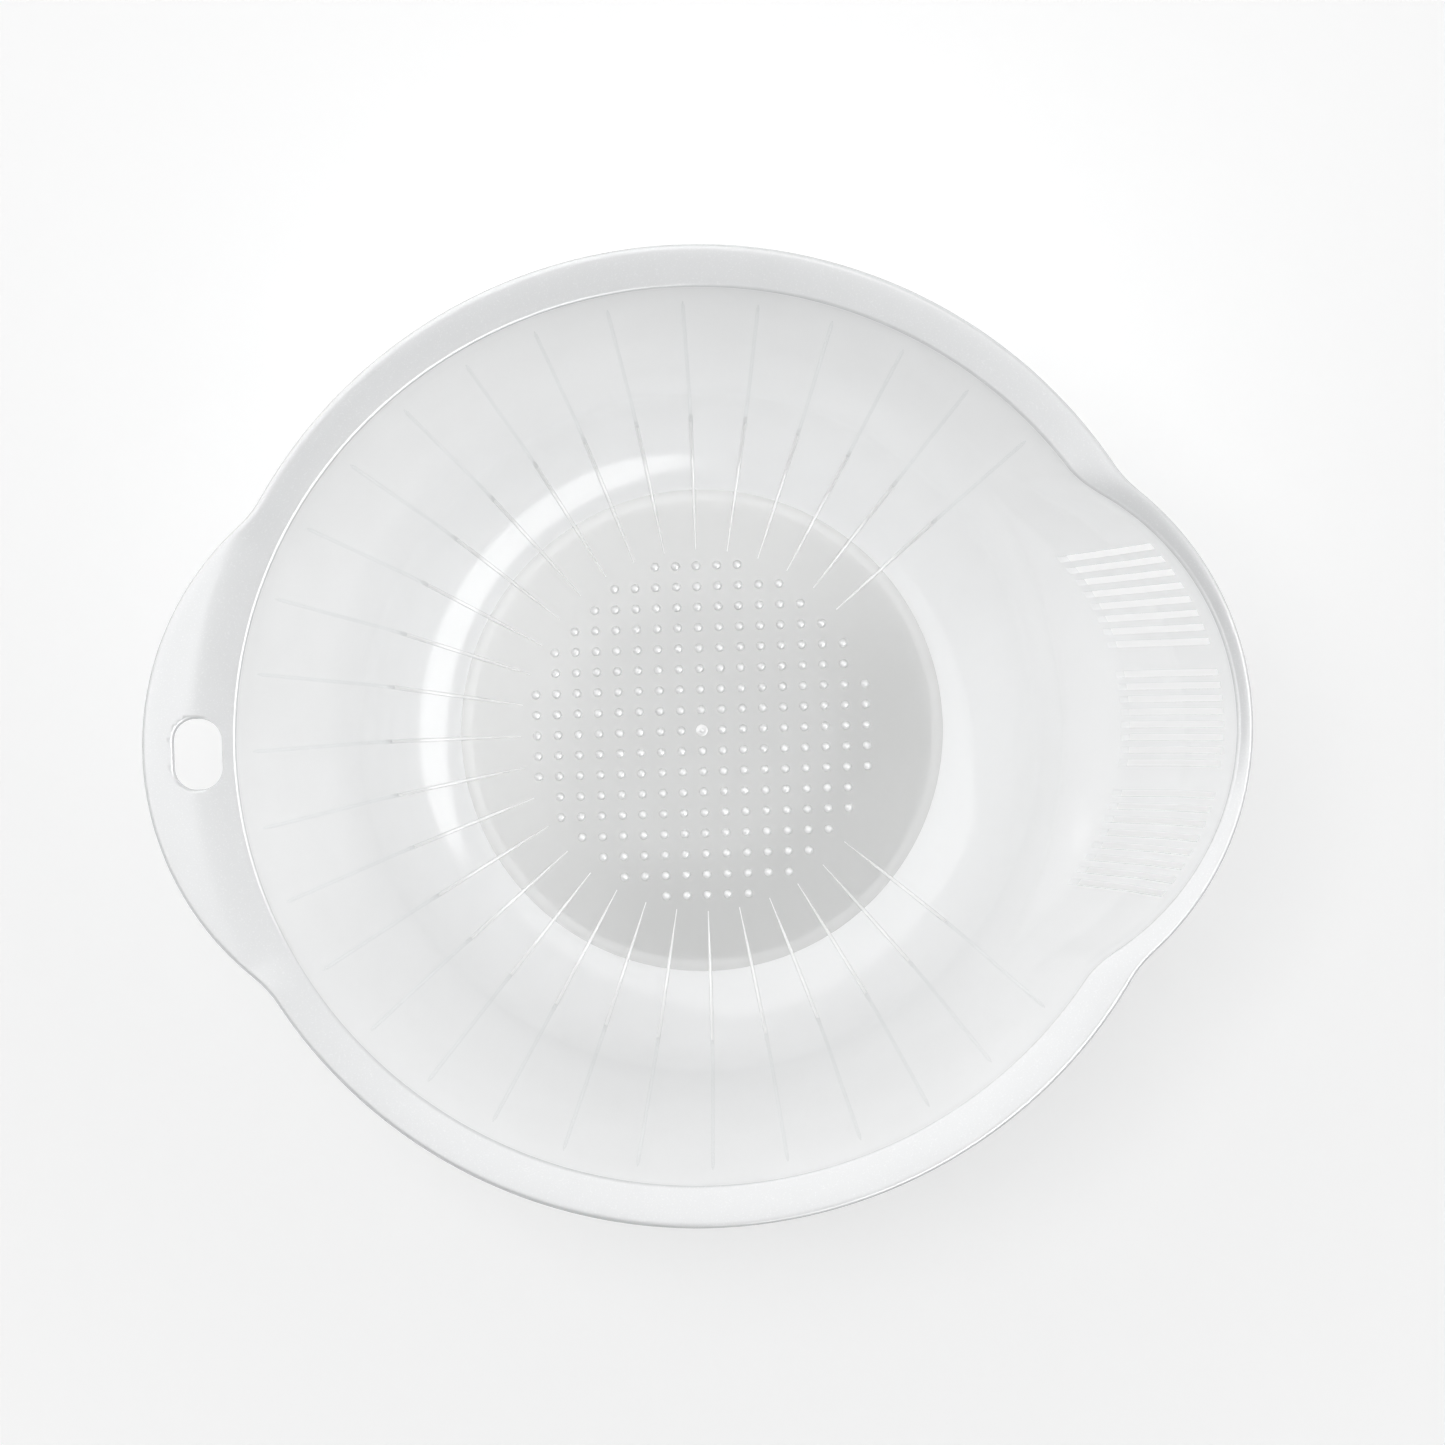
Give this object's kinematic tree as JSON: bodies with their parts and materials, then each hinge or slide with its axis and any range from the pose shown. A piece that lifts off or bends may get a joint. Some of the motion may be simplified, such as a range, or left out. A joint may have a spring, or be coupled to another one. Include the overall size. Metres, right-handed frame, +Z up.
{
  "type": "rice-washing bowl",
  "caption": "Round frosted plastic bowl with a flat rim, a hang tab, and a pouring spout whose sloping wall is cut by narrow drain slots, for washing and draining rice.",
  "frame": {"origin": "on the surface the bowl stands on, under the centre of the bowl; the handle and spout reach equally far, so this is the middle of the bounding box's base", "axes": "+X from the bowl's axis to the spout, -X to the hang tab, +Z up along the bowl's axis"},
  "size_m": [0.254, 0.225, 0.108],
  "materials": {
    "frosted_shell": "translucent natural polypropylene, smooth with a fine satin grain",
    "frosted_rim": "translucent natural polypropylene, satin",
    "frosted_detail": "translucent natural polypropylene, smooth"
  },
  "bodies": {
    "root": {"floor_panel": "frosted_shell", "foot_ring": "frosted_shell", "bowl_wall": "frosted_shell", "spout_wall": "frosted_shell", "drain_grille_left": "frosted_shell", "drain_grille_centre": "frosted_shell", "drain_grille_right": "frosted_shell", "rim_flange": "frosted_rim", "spout_lip": "frosted_rim", "handle_tab": "frosted_rim", "wash_ribs": "frosted_detail", "floor_studs": "frosted_detail", "rim_gussets": "frosted_detail", "gate_mark": "frosted_detail"}
  },
  "joints": []
}
